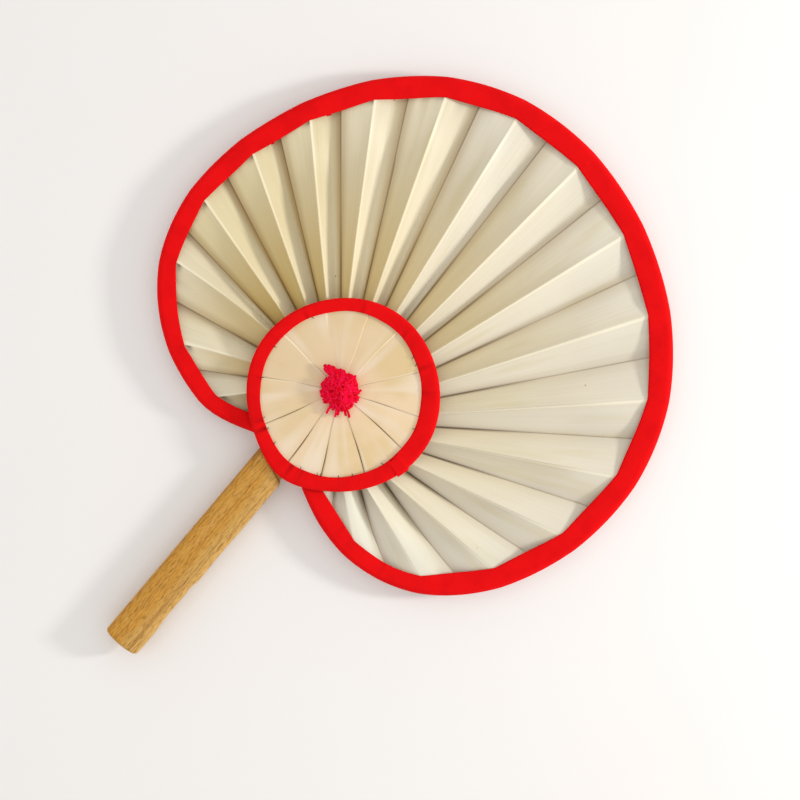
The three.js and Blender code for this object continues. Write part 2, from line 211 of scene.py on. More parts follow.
def strip_points(order, width, draw):
    """One strip as a sheet. Across it runs a roof: up a bulging left face, whose edge lies on the strip
    before, to the crest, which is pinched up on most, and down a right face that sags, to the valley and
    up again under the next strip. The roof is high at the hub and low at the tape. Some lean over near
    the hub, and two are folded off their middle. Small waves buckle it, and a few dents mark where the
    needle drew it in at the tape. Also returns the share of the way out, and a share for the painted
    shadow that the first strips get beside their crest, where the tape's edge shades them."""
    turn = (1 - np.cos(np.pi * np.arange(face_columns + 1) / face_columns)) / 4
    across = np.concatenate([turn, turn[1:] + 0.5, [1 + underlap]])
    across = across[across <= width + underlap][None, :]
    reach = np.linspace(0, 1, strip_rows)[:, None]
    leaning = hump(order - lean_middle, lean_width)
    crest = 0.5 - hub_lean * leaning * (1 - reach) ** 2
    crest = crest + crest_roots.get(order, 0) * (1 - reach) + crest_tips.get(order, 0) * reach
    left, right = across / 0.5, (across - 0.5) / 0.5
    ahead, next_ahead = edge_shift(order, reach), edge_shift(order + 1, reach)
    left_phase = crest * left - ahead * (1 - left)
    right_phase = crest + (1 - next_ahead - crest) * right
    phase = np.where(across < 0.5, left_phase, right_phase)
    fold = order + phase
    root = fold_root(fold)
    end, inward = on_rim(fold_run(fold))
    length = np.linalg.norm(end - root, axis=-1)
    spoke = (end - root) / length[..., None]
    slant = np.abs(np.sum(spoke * inward, -1))
    out = -hub_strip_tuck + (length - tape_web / slant + hub_strip_tuck) * reach
    place = root + spoke * out[..., None]
    to_tape = length - tape_reach / slant - out
    rise = ease(to_tape / pleat_rise)
    pleat = rim_pleat + (hub_pleat - rim_pleat) * rise
    from_end = np.minimum(fold, strip_count - fold)
    pleat = pleat * (end_pleat + (1 - end_pleat) * ease(from_end / pleat_fade))
    shifted = (1 + leaning) * up_to(last_shifted, order)
    valley = (1 - valley_shift * shifted - crest) / (1 - crest)
    lift = valley_lift * shifted * pleat
    pinched = pinch * up_to(last_pinched, order)
    bulged = 1 - np.clip(1 - left, 0, 1) ** bulge
    roof = (1 - pinched) * bulged + pinched * np.clip(left, 0, 1) ** pinch_power
    climb = lift + edge_step + (pleat - lift - edge_step) * roof
    fall = pleat * (1 - np.clip(right / valley, 0, 1) ** (1 - (1 - sag) * rise))
    fall = fall + lift * np.clip((right - valley) / (1 - valley + underlap), 0, 1)
    height = np.where(across < 0.5, climb, fall) - pleat / 2
    free = np.sin(2 * np.pi * np.clip(across, 0, 1)) ** 2
    waves = np.sin(out / buckle_short + short_step * order + buckle_slant * phase)
    waves = waves * np.sin(out / buckle_long + long_step * order)
    height = height + buckle * waves * free
    # Painted shadow beside the crest where it goes in under the tape's edge.
    tape_shadow = hump(to_tape + tape_shadow_edge, tape_shadow_span) * (across <= 0.5)
    tape_shadow = tape_shadow * np.clip((across - tape_shadow_from) / (0.5 - tape_shadow_from), 0, 1) ** 2
    tape_shadow = tape_shadow * up_to(last_tape_shadow, order)
    for middle, size, share in draw.uniform(needle_least, needle_most, (needle_count, 3)):
        dent = hump(across - middle, needle_width) * hump(to_tape / mm + needle_offset, size)
        height = height + needle_depth * share * dent * free
    points = np.concatenate([place, (blade_level + height)[..., None]], -1)
    uv = np.stack([np.broadcast_to(across, out.shape), out * fibre_run], -1)
    return points, uv, np.broadcast_to(reach, out.shape), tape_shadow


def seen(red, green, blue):
    """A colour as a picture shows it, 0 to 255 each, turned into the linear values that shaders take."""
    share = np.array([red, green, blue]) / 255
    linear = np.where(share <= 0.04045, share / 12.92, ((share + 0.055) / 1.055) ** 2.4)
    return (*linear.tolist(), 1.0)


def add(tree, kind, inputs, **settings):
    """Adds one node. An input is a plain value, or the socket that feeds it."""
    made = tree.nodes.new(kind)
    for key, value in settings.items():
        setattr(made, key, value)
    for key, value in inputs.items():
        if isinstance(value, bpy.types.NodeSocket):
            tree.links.new(value, made.inputs[key])
        else:
            made.inputs[key].default_value = value
    return made


def work(tree, operation, *values):
    """One step of arithmetic on numbers or sockets."""
    return add(tree, "ShaderNodeMath", dict(enumerate(values)), operation=operation).outputs[0]


def times(tree, one, other):
    """The product of two numbers or sockets."""
    return work(tree, "MULTIPLY", one, other)


def span(tree, value, low, high):
    """A smooth mask: 0 where the value is at low and 1 where it is at high."""
    inputs = {"Value": value, "From Min": low, "From Max": high}
    return add(tree, "ShaderNodeMapRange", inputs, interpolation_type="SMOOTHSTEP").outputs[0]


def tint(tree, share, base, over, strength=1):
    """Lays one colour over another by a share, which a strength may lower."""
    if strength != 1:
        share = times(tree, share, strength)
    inputs = {0: share, 6: base, 7: over}
    return add(tree, "ShaderNodeMix", inputs, data_type="RGBA").outputs[2]


def noise(tree, vector, detail, scale=1.0):
    """Cloudy noise from 0 to 1 along a vector, at a scale unless the vector carries its own."""
    inputs = {"Vector": vector, "Scale": scale, "Detail": detail}
    return add(tree, "ShaderNodeTexNoise", inputs).outputs["Fac"]


def kept_value(tree, name):
    """Reads a value that was kept for each point of the piece."""
    return add(tree, "ShaderNodeAttribute", {}, attribute_name=name).outputs["Fac"]


def object_place(tree):
    """Where a point lies in the fan's own frame."""
    return add(tree, "ShaderNodeTexCoord", {}).outputs["Object"]


def uv_place(tree):
    """Where a point lies on its sheet: across it and along it."""
    uv = add(tree, "ShaderNodeUVMap", {}).outputs[0]
    return add(tree, "ShaderNodeSeparateXYZ", {"Vector": uv}).outputs[:2]


def stretch(tree, x, y, z):
    """Joins three numbers or sockets into one vector."""
    return add(tree, "ShaderNodeCombineXYZ", {"X": x, "Y": y, "Z": z}).outputs[0]


def new_material(name):
    """A bare material with its tree and its main shader."""
    material = bpy.data.materials.new(name)
    material.use_nodes = True
    return material, material.node_tree, material.node_tree.nodes["Principled BSDF"]


def dress(tree, shader, color, roughness, shine=0.5):
    """Gives the main shader its colour, how rough it is and how strongly it shines."""
    tree.links.new(color, shader.inputs["Base Color"])
    shader.inputs["Roughness"].default_value = roughness
    shader.inputs["Specular IOR Level"].default_value = shine


def roughen(tree, shader, height, strength, distance):
    """Lets the light see a fine relief."""
    inputs = {"Height": height, "Strength": strength, "Distance": distance}
    tree.links.new(add(tree, "ShaderNodeBump", inputs).outputs[0], shader.inputs["Normal"])


def new_group(name, inputs, outputs):
    """A bare shader node group with named number sockets, and its two end nodes."""
    group = bpy.data.node_groups.new(name, "ShaderNodeTree")
    for socket in inputs:
        group.interface.new_socket(socket, in_out="INPUT", socket_type="NodeSocketFloat")
    for socket in outputs:
        group.interface.new_socket(socket, in_out="OUTPUT", socket_type="NodeSocketFloat")
    return group, group.nodes.new("NodeGroupInput").outputs, group.nodes.new("NodeGroupOutput").inputs


def fibre_group():
    """What all dried palm leaf shows: fibres along it, cloudy patches and a few dark specks."""
    inputs, outputs = ["Across", "Along", "Seed"], ["Fibre", "Patch", "Speck"]
    group, given, put = new_group("palm leaf fibre", inputs, outputs)
    seed = times(group, given["Seed"], 37)
    wide = stretch(group, times(group, given["Across"], 46), given["Along"], seed)
    fine = stretch(group, times(group, given["Across"], 150), given["Along"], seed)
    both = work(group, "ADD", noise(group, wide, 3), noise(group, fine, 2))
    group.links.new(times(group, both, 0.5), put["Fibre"])
    cloud = stretch(group, times(group, given["Across"], 2.4), given["Along"], seed)
    group.links.new(noise(group, cloud, 2, scale=1.6), put["Patch"])
    inputs = {"Vector": object_place(group), "Scale": 85, "Randomness": 1}
    spots = add(group, "ShaderNodeTexVoronoi", inputs)
    drawn = add(group, "ShaderNodeSeparateColor", {"Color": spots.outputs["Color"]}).outputs[0]
    near = span(group, spots.outputs["Distance"], 0.035, 0.02)
    group.links.new(times(group, near, span(group, drawn, 0.7, 0.74)), put["Speck"])
    return group


leaf_fibre = fibre_group()


def leaf_material():
    """Dried leaf: tan on the first strips and cream on the last, paler at the tips. Near the hub the
    left faces are painted golden, painted light for the glow that comes through the leaf into the faces
    in shade, and the right faces of the first strips are painted paler, painted light. The lower lobe is
    whiter, most on the faces turned to the light, partly painted light. A pale midrib runs along the
    crest, partly a painted highlight. Painted shade darkens the valleys, the lines where strips meet,
    the first strip's left face and a spot beside each crest at the tape."""
    material, tree, shader = new_material("dried palm leaf")
    across, along = uv_place(tree)
    tone, reach = kept_value(tree, "tone"), kept_value(tree, "reach")
    whitening = kept_value(tree, "whitening")
    inputs = {"Across": across, "Along": along, "Seed": kept_value(tree, "seed")}
    fibre = add(tree, "ShaderNodeGroup", inputs, node_tree=leaf_fibre).outputs
    pale = tint(tree, span(tree, tone, 0.0, 0.6), seen(230, 215, 172), seen(231, 223, 204))
    pale = tint(tree, span(tree, tone, 0.6, 1.0), pale, seen(225, 216, 196))
    golden = tint(tree, span(tree, tone, 0.0, 0.55), seen(199, 169, 98), seen(221, 200, 150))
    golden = tint(tree, span(tree, tone, 0.55, 1.0), golden, seen(228, 217, 188))
    left_face = span(tree, across, 0.53, 0.47)
    # Painted light: near the hub the left faces, in shade on most strips, are painted golden for the
    # glow of light through the leaf.
    shade_glow = work(tree, "MULTIPLY_ADD", left_face, 0.9, 0.1)
    shade_glow = times(tree, span(tree, reach, 1.0, 0.1), shade_glow)
    color = tint(tree, shade_glow, pale, golden)
    color = tint(tree, span(tree, fibre["Patch"], 0.52, 0.72), color, seen(208, 192, 138), 0.3)
    fibrous = work(tree, "MULTIPLY_ADD", tone, -0.06, 0.14)
    fibrous = times(tree, span(tree, fibre["Fibre"], 0.35, 0.65), fibrous)
    color = tint(tree, fibrous, color, seen(176, 150, 96))
    # Painted light: the right faces of the first strips, which face the light, are painted paler near
    # the hub.
    right_root = work(tree, "SUBTRACT", 1, left_face)
    right_root = times(tree, span(tree, reach, 0.7, 0.2), right_root)
    root_light = times(tree, kept_value(tree, "root_light"), right_root)
    color = tint(tree, root_light, color, seen(250, 238, 202), 0.6)
    # The lower lobe is painted whiter, most on the faces turned to the light: partly its paler leaf,
    # partly painted light.
    facing_light = work(tree, "MULTIPLY_ADD", left_face, 0.5, 0.5)
    color = tint(tree, times(tree, whitening, facing_light), color, seen(237, 235, 217))
    # A pale midrib along the crest, partly a painted highlight where the crest catches the light.
    from_crest = work(tree, "ABSOLUTE", work(tree, "SUBTRACT", across, 0.525))
    color = tint(tree, span(tree, from_crest, 0.028, 0.009), color, seen(252, 244, 216), 0.5)
    from_edge = work(tree, "MINIMUM", across, work(tree, "SUBTRACT", 1, across))
    # Painted shade beside the valleys, near the strips' edges, strongest on the first strips and on the
    # lobe.
    edge_shade = work(tree, "MULTIPLY_ADD", tone, -0.48, 0.55)
    edge_shade = work(tree, "MULTIPLY_ADD", whitening, 0.4, edge_shade)
    valley_shade = times(tree, span(tree, from_edge, 0.18, 0.0), edge_shade)
    color = tint(tree, valley_shade, color, seen(150, 112, 44))
    # Painted shadow on the right faces near the valley of the first strips, where the next crest shades
    # them.
    valley_shadow = times(tree, span(tree, across, 0.82, 1.0), span(tree, tone, 0.5, 0.0))
    color = tint(tree, valley_shadow, color, seen(150, 106, 36), 0.4)
    # Painted shade in the narrow gaps where strips meet near the hub, wider on the lobe.
    gap = work(tree, "MULTIPLY_ADD", whitening, 0.18, 0.06)
    gap_shade = times(tree, span(tree, from_edge, gap, 0.0), span(tree, reach, 0.55, 0.15))
    color = tint(tree, gap_shade, color, seen(92, 62, 26), 0.8)
    # A thin line of painted shade where the strips meet, darker on the first strips.
    edge_marks = work(tree, "MULTIPLY_ADD", tone, -0.5, 0.7)
    edge_marks = times(tree, span(tree, from_edge, 0.02, 0.0), edge_marks)
    color = tint(tree, edge_marks, color, seen(116, 84, 40))
    # Painted shade on the first strip's left face, tucked under the ring and the tape.
    end_shade = times(tree, kept_value(tree, "end_shade"), left_face)
    color = tint(tree, end_shade, color, seen(120, 92, 48))
    color = tint(tree, fibre["Speck"], color, seen(88, 70, 40))
    # Painted shadow beside each crest at the tape.
    color = tint(tree, kept_value(tree, "tape_shadow"), color, seen(84, 52, 20), 0.95)
    dress(tree, shader, color, 0.5)
    roughen(tree, shader, fibre["Fibre"], 0.15, 0.2 * mm)
    return material


palm_leaf = leaf_material()
strips = int(np.ceil(strip_count))
tan_strip, cream_strip, tone_shake = 2, 15, 0.08
first_cream, end_shade_strength = 0.35, 0.35
lobe_whitening, last_root_light, tint_ease_strips = 0.75, 9, 4
draw = np.random.default_rng(7)
for i in range(strips):
    points, uv, reach, tape_shadow = strip_points(i, min(1, strip_count - i), draw)
    strip = surface(f"pleat_{i + 1:02d}", points, uv)
    tone = ease((i - tan_strip) / (cream_strip - tan_strip))
    tone = tone + first_cream * (1 - ease((i - 1) / fade_strips))
    mark(strip, "tone", np.clip(tone + draw.uniform(-tone_shake, tone_shake), 0, 1))
    # Painted shade on the first strip.
    mark(strip, "end_shade", end_shade_strength if i == 0 else 0)
    # The lobe's whitening, partly painted light.
    mark(strip, "whitening", lobe_whitening * ease((i - first_shifted) / tint_ease_strips))
    # Painted light on the first strips' right faces near the hub.
    mark(strip, "root_light", ease((last_root_light - i) / tint_ease_strips))
    mark(strip, "reach", reach)
    # Painted shadow beside the crests at the tape.
    mark(strip, "tape_shadow", tape_shadow)
    mark(strip, "seed", i / strips)
    thicken(strip, leaf_thickness)
    fit(strip, palm_leaf, "leaf", f"leaf_strip_{i + 1:02d}")

# The rim's binding. Red cotton tape folded over the ends of the pleats and sewn down, so that it bulges
# a little between its edges. Its edge runs straight from crest to crest, and it puckers on the lobes.
tape_thickness, tape_round, tape_round_depth = 0.7 * mm, 0.35, 0.24
thread_gap, full_pucker = 0.5 * mm, 2.3
rim_tape_width, rim_tape_facet, rim_nose_facet = 9.9 * mm, 1.3 * mm, 0.25 * mm
rim_tape_wander, rim_wide_heading = 1.5 * mm, -40
rim_pull, rim_pull_place, rim_pull_span = 2 * mm, 69 * mm, 20 * mm
rim_half_height, rim_dip, rim_follow = 3.4 * mm, 0.5 * mm, 1.1 * mm
rim_waver, waver_short, waver_long = 0.25 * mm, 9 * mm, 23 * mm
lobe_length, last_lobe = 120 * mm, 150 * mm
crest_tuck, loose_tuck, loose_from, loose_to = 0.35, 0.3, 8, 22
tuck_width, tuck_crease = 1.8 * mm, 1.6 * mm
rim_rows, tape_columns = 1200, 14


def tape_half(width, half_height, dip, lift):
    """Half of a folded tape's section, from the fold to the edge: a quarter ellipse that runs out into
    a lip, which dips towards its edge. Lift raises it, in full at the edge. Returns the depth in from
    the fold and the height."""
    step = np.linspace(0, 1, tape_columns)[None, :]
    turn = np.clip(step / tape_round, 0, 1) * np.pi / 2
    flat = np.clip((step - tape_round) / (1 - tape_round), 0, 1)
    depth = width[:, None] * (tape_round_depth * (1 - np.cos(turn)) + (1 - tape_round_depth) * flat)
    height = half_height[:, None] * np.sin(turn) - dip[:, None] * flat**2 + lift[:, None] * step**1.5
    return depth, height


def folded_tape(name, nose, inward, run, level, width, half_height, dip, lifts, crease_shade):
    """Tape folded over an edge: both halves of its section, back edge to front edge, carried along the
    edge. Lifts are the puckers of the front half and of the back half. The last share is painted shade
    in its creases, stronger towards the tape's edge."""
    front_depth, front_height = tape_half(width, half_height, dip, lifts[0])
    back_depth, back_height = tape_half(width, half_height, dip, lifts[1])
    share = np.linspace(0, 1, tape_columns)[None, :]
    depth = np.concatenate([back_depth[:, ::-1], front_depth[:, 1:]], 1)
    height = np.concatenate([-back_height[:, ::-1], front_height[:, 1:]], 1)
    place = nose[:, None, :] + inward[:, None, :] * depth[..., None]
    points = np.concatenate([place, (level + height)[..., None]], -1)
    side = np.concatenate([-share[:, ::-1], share[:, 1:]], 1) * np.mean(width)
    uv = np.stack([np.broadcast_to(side, depth.shape), np.broadcast_to(run[:, None], depth.shape)], -1)
    piece = surface(name, points, uv)
    mark(piece, "crease_shade", crease_shade[:, None] * np.concatenate([share[:, ::-1], share[:, 1:]], 1))
    thicken(piece, tape_thickness)
    return piece


def puckers(run, at, size, half_width):
    """Small folds across a tape: each rises on one side of its place and sinks on the other."""
    off = (run[:, None] - at[None, :]) / half_width
    return np.sum(size[None, :] * full_pucker * off * hump(off, 1), 1)


def creases(run, at, strength, half_width):
    """How much painted shade a tape has along its length: a soft dark line at each place."""
    return np.max(strength[None, :] * hump(run[:, None] - at[None, :], half_width), 1)


def cloth_material():
    """Plain red cotton: a fine over and under weave, a slightly uneven dye, lint, and painted shade in
    its creases.
    Hardly any red glow is seen round it, so the light it throws on other pieces is paler than it."""
    material, tree, shader = new_material("red cotton tape")
    side, along = uv_place(tree)
    turns = 2 * np.pi / thread_gap
    warp = work(tree, "SINE", times(tree, side, turns))
    weft = work(tree, "SINE", times(tree, along, turns))
    weave = times(tree, warp, weft)
    place = object_place(tree)
    dye = span(tree, noise(tree, place, 3, scale=90), 0.4, 0.7)
    color = tint(tree, dye, seen(237, 6, 10), seen(216, 1, 6), 0.5)
    lint = span(tree, noise(tree, place, 2, scale=900), 0.74, 0.8)
    color = tint(tree, lint, color, seen(250, 90, 90), 0.35)
    # Painted shade in the creases of the tape.
    color = tint(tree, kept_value(tree, "crease_shade"), color, seen(150, 0, 4))
    thrown = add(tree, "ShaderNodeLightPath", {}).outputs["Is Diffuse Ray"]
    color = tint(tree, thrown, color, seen(242, 216, 212), 0.65)
    dress(tree, shader, color, 0.85, 0.12)
    height = work(tree, "ADD", times(tree, weave, 0.5), noise(tree, place, 3, scale=260))
    roughen(tree, shader, height, 0.25, 0.3 * mm)
    return material


red_cloth = cloth_material()
run = np.linspace(0, rim_length, rim_rows)
# A crest goes in under the tape at a slant, so it meets the tape's inner edge a little to one side.
crest_folds = np.array([i + 0.5 + crest_tips.get(i, 0) for i in range(strips)])
crest_ends, crest_inward = on_rim(fold_run(crest_folds))
crest_ways = crest_ends - fold_root(crest_folds)
crest_along = np.stack([-crest_inward[:, 1], crest_inward[:, 0]], -1)
crest_slide = np.sum(crest_ways * crest_along, 1) / np.sum(crest_ways * crest_inward, 1)
crest_runs = fold_run(crest_folds) + rim_tape_width * crest_slide
# Between crests the tape runs straight, so its fold and still more its inner edge lie further in.
between = np.interp(run, crest_runs, np.arange(strips))
from_crest = between - np.floor(between)
facet = 4 * from_crest * (1 - from_crest)
on_lobe = 1 - ease(run / lobe_length) + ease((run - rim_length + last_lobe) / lobe_length)
nose, inward = on_rim(run)
nose = nose + inward * (rim_nose_facet * facet)[:, None]
waver = rim_waver * np.sin(run / waver_short) * np.sin(run / waver_long)
rim_at = np.interp(run, rim_run, rim_headings)
width = rim_tape_width + rim_tape_wander * np.cos(np.radians(rim_at - rim_wide_heading))
width = width + (rim_tape_facet - rim_nose_facet) * facet + waver
width = width - rim_pull * hump(rim_length - run - rim_pull_place, rim_pull_span)
# On the lobes the tape puckers at each crest, and at a loose place after it.
crest_lobe = np.interp(crest_runs, run, on_lobe)
loose_runs = crest_runs + draw.uniform(loose_from, loose_to, strips) * mm
loose_sizes = draw.uniform(-loose_tuck, loose_tuck, strips) * crest_lobe
tuck_runs = np.concatenate([crest_runs, loose_runs])
tuck_sizes = np.concatenate([crest_tuck * crest_lobe, loose_sizes]) * mm
lift = puckers(run, tuck_runs, tuck_sizes, tuck_width)
# In front the tape sinks between crests, and behind it sinks at them, as the pleats in it do.
between_crests = (1 - np.cos(2 * np.pi * from_crest)) / 2
lifts = lift - rim_follow * between_crests, lift - rim_follow * (1 - between_crests)
# Painted shade at the puckers.
dark = creases(run, tuck_runs, np.abs(tuck_sizes) / mm, tuck_crease)
heights, dips = np.full(rim_rows, rim_half_height), np.full(rim_rows, rim_dip)
rim_tape = folded_tape("rim_tape", nose, inward, run, blade_level, width, heights, dips, lifts, dark)
fit(rim_tape, red_cloth, "red_cloth", "rim_binding")

# The two rosettes. Wedges cut from smooth palm leaf, laid round the hub on each face, each with its
# clockwise edge over the next one. Their points meet under the tuft, their ends are under the ring.
faces = ("front", 1), ("back", -1)
seam_headings = [117.7, 84.4, 51.5, 21.9, -0.7, -33, -65.6, -91.8, -124, -154.9, -178.9, -208.9]
wedge_tuck, wedge_lap = 1.5 * mm, 6
wedge_tip = 2.4 * mm
rosette_shift = np.array([-2.6, 0.7]) * mm
wedge_bow, cut_waver = 0.25 * mm, 0.25 * mm
wedge_rows, wedge_columns = 40, 28


def wedge_points(start, end, low, rise, side):
    """One wedge as a sheet: straight lines from a small circle at the rosette's middle to a large one
    under the ring, rising evenly from its covered edge to its free one, with a slight bow."""
    across = np.linspace(0, 1, wedge_columns)[None, :]
    reach = np.linspace(0, 1, wedge_rows)[:, None]
    ray = heading(start + (end - start) * across)
    inner = hub + rosette_shift + ray * wedge_tip
    outer = hub + ray * (hub_radius - wedge_tuck)
    place = inner + (outer - inner) * reach[..., None]
    edge = cut_waver * np.sin(9 * reach + start) * across**6
    turned = np.stack([-ray[..., 1], ray[..., 0]], -1)
    place = place + turned * edge[..., None]
    crown = wedge_bow * np.sin(np.pi * across) * np.sin(np.pi * reach)
    height = side * (low + rise * across + crown)
    points = np.concatenate([place, (blade_level + height)[..., None]], -1)
    from_seam = (across * (start - end) - wedge_lap) / (start - end - wedge_lap)
    uv = np.stack(np.broadcast_arrays(from_seam, reach), -1)
    return points[:, ::side], uv[:, ::side]


def rosette_material():
    """Smooth warm palm leaf: faint fibres towards the middle, cloudy warm and pale patches and specks.
    The wedges are painted darker on the side away from the light, painted shade. A wedge's free edge has
    a painted highlight where it faces the light, and a dark line of painted shadow under it where not."""
    material, tree, shader = new_material("rosette palm leaf")
    across, out = uv_place(tree)
    seed = kept_value(tree, "seed")
    along = times(tree, out, 0.5)
    inputs = {"Across": across, "Along": along, "Seed": seed}
    fibre = add(tree, "ShaderNodeGroup", inputs, node_tree=leaf_fibre).outputs
    # Painted shade: the tone darkens the wedges on the side away from the light.
    color = tint(tree, kept_value(tree, "tone"), seen(243, 215, 176), seen(231, 204, 163))
    warm = span(tree, noise(tree, object_place(tree), 2, scale=38), 0.4, 0.68)
    color = tint(tree, warm, color, seen(222, 193, 132), 0.6)
    drawn_out = stretch(tree, across, along, times(tree, seed, 61))
    whitening = span(tree, noise(tree, drawn_out, 1, scale=1.9), 0.42, 0.72)
    color = tint(tree, whitening, color, seen(244, 226, 201), 0.75)
    color = tint(tree, span(tree, fibre["Fibre"], 0.4, 0.7), color, seen(204, 166, 112), 0.12)
    color = tint(tree, fibre["Speck"], color, seen(130, 100, 66), 0.7)
    edge = kept_value(tree, "edge")
    # Painted highlight on the free edges that face the light.
    lit = times(tree, edge, kept_value(tree, "lit"))
    edge_highlight = times(tree, span(tree, across, 0.965, 0.98), lit)
    color = tint(tree, edge_highlight, color, seen(252, 238, 210), 0.8)
    # Painted shadow: a dark line under the free edges that face away from the light.
    dark = times(tree, edge, kept_value(tree, "dark"))
    gap = times(tree, span(tree, across, 0.032, 0.01), dark)
    color = tint(tree, gap, color, seen(116, 66, 12), 0.85)
    dress(tree, shader, color, 0.48)
    roughen(tree, shader, fibre["Fibre"], 0.2, 0.2 * mm)
    return material


rosette_leaf = rosette_material()
wedge_thickness, wedge_low, wedge_rise = 0.3 * mm, 5.9 * mm, 0.5 * mm
soft_seam, soft_rise = 51.5, 0.3
# The heading where the wedges are painted darkest, and the light's heading and strength for the painted
# free edges
shaded_heading, lit_heading, lit_contrast = 70, 40, 0.7
wedges = len(seam_headings)
for face, side in faces:
    for i, seam in enumerate(seam_headings):
        before = seam_headings[i - 1] + (360 if i == 0 else 0)
        rise = wedge_rise * (soft_rise if seam == soft_seam else 1)
        points, uv = wedge_points(before + wedge_lap, seam, wedge_low, rise, side)
        wedge = surface(f"{face}_wedge_{i + 1:02d}", points, uv)
        seam_light, before_light = np.cos(np.radians(np.array([seam, before]) - lit_heading))
        mark(wedge, "seed", (i * 5 % wedges) / wedges)
        mark(wedge, "tone", 0.5 + 0.5 * np.cos(np.radians(seam - shaded_heading)))
        mark(wedge, "edge", 0 if soft_seam in (seam, before) else 1)
        mark(wedge, "lit", np.clip(0.5 + lit_contrast * seam_light, 0, 1))
        mark(wedge, "dark", np.clip(0.5 - lit_contrast * before_light, 0, 1))
        thicken(wedge, wedge_thickness)
        fit(wedge, rosette_leaf, "rosette_leaf", f"{face}_leaf_wedge_{i + 1:02d}")

# The ring round each rosette. The same red tape, folded over the wedges' ends and sewn through with
# black thread. It is wider on one side, wrinkles where the hand pulled it, and laps over its own start.
ring_start, ring_lap, lap_ease = -97, 9, 1.5
lap_step, lap_rise = 0.9 * mm, 0.4 * mm
ring_width, ring_wide, ring_wide_heading = 7.6 * mm, 1.3 * mm, -66
ring_waver, ring_wobble, ring_shift, ring_shift_heading = 0.3 * mm, 0.4 * mm, 0.35 * mm, 50
ring_bulge, ring_bulge_heading, ring_bulge_span, ring_bulge_width = 2.8 * mm, -178, 19, 2 * mm
wrinkle_room, wrinkle_width, wrinkle_crease = 0.5 * mm, 2 * mm, 1.1 * mm
ring_middle = (hub_low + hub_high)[2] / 2 - blade_level
ring_half_height = (hub_high - hub_low)[2] / 2 - wrinkle_room
ring_dip, ring_slack, ring_slack_heading, ring_slack_span = 0.35 * mm, 0.7 * mm, -55, 30
ring_rows = 520
# Each wrinkle's heading, and its height in mm, below zero where it rises before it sinks
wrinkles = {153: -0.9, 147: 0.6, 118: 0.2, 90: -0.2, 65: 0.25, 27: 0.2, -5: 0.2, -31: 0.4, -48: -0.3,
            -98: 0.6, -104: 0.5, -120: 0.2, -140: 0.4, -168: 0.7, -176: -0.5}
wrinkle_headings, wrinkle_sizes = np.array(list(wrinkles)), np.array(list(wrinkles.values())) * mm
ring_turn = np.linspace(0, 360 + ring_lap, ring_rows)
ring_at = ring_start - ring_turn
ring_ray = heading(ring_at)
ring_run = np.radians(ring_turn) * hub_radius
# The tape is wider on one side and wavers, and it bulges out where the handle goes in.
from_wide = np.radians(ring_at - ring_wide_heading)
ring_widths = ring_width + ring_wide * (np.cos(from_wide) + 0.5 * np.cos(2 * from_wide))
ring_waves = np.sin(np.radians(7 * ring_at)) * np.sin(np.radians(3 * ring_at + 40))
bulged = hump(ring_at - ring_bulge_heading, ring_bulge_span)
ring_widths = ring_widths + ring_waver * ring_waves + ring_bulge_width * bulged
# Past a full turn the tape lies over its own start, further out and higher.
over_start = ease((ring_turn - 360) / lap_ease)
sway = ring_shift * np.cos(np.radians(ring_at - ring_shift_heading))
sway = sway + ring_wobble * np.cos(np.radians(4 * ring_at - 40))
ring_out = hub_radius + sway + ring_bulge * bulged + lap_step * over_start
ring_nose = hub + ring_ray * ring_out[:, None]
ring_heights = ring_half_height + lap_rise * over_start
wrinkle_runs = np.radians((ring_start - wrinkle_headings) % 360) * hub_radius
ring_lift = puckers(ring_run, wrinkle_runs, wrinkle_sizes, wrinkle_width)
# Painted shade at the wrinkles.
ring_dark = creases(ring_run, wrinkle_runs, np.abs(wrinkle_sizes) / mm, wrinkle_crease)
from_slack = (ring_at + 360) % 360 - 360 - ring_slack_heading
ring_dips = ring_dip + ring_slack * hump(from_slack, ring_slack_span)
flat_lift = np.zeros(ring_rows)
for face, side in faces:
    level, lifts = blade_level + side * ring_middle, (ring_lift, flat_lift)[::side]
    ring = folded_tape(f"{face}_ring_tape", ring_nose, -ring_ray, ring_run, level, ring_widths,
                       ring_heights, ring_dips, lifts, ring_dark)
    fit(ring, red_cloth, "red_cloth", f"{face}_ring_binding")

# The sewing. Black cotton thread holds the rings' inner edges down to the wedges in short stitches, put
# in by hand and unevenly spaced.
stitch_headings = np.array([118, 146, 154, 165, 190, 202, 204.5, 217, 227, -21, -27, 62, 95, -75, -110])
stitch_length, stitch_radius, stitch_rise = 1.9 * mm, 0.16 * mm, 0.5 * mm
stitch_slant, stitch_arch = 0.4 * mm, 1.4
stitch_rows, stitch_sides = 9, 6


def tubes(name, rings):
    """Joins rings of points, tube by row by side, into closed tubes with a flat face at both ends."""
    count, rows, sides = rings.shape[:3]
    index = np.arange(count * rows * sides).reshape(count, rows, sides)
    beside = np.roll(index, -1, axis=2)
    walls = np.stack([index[:, :-1], beside[:, :-1], beside[:, 1:], index[:, 1:]], -1).reshape(-1, 4)
    ends = np.concatenate([index[:, 0, ::-1], index[:, -1]])
    mesh = bpy.data.meshes.new(name)
    mesh.from_pydata(rings.reshape(-1, 3).tolist(), [], walls.tolist() + ends.tolist())
    mesh.shade_smooth()
    piece = bpy.data.objects.new(name, mesh)
    bpy.context.collection.objects.link(piece)
    return piece


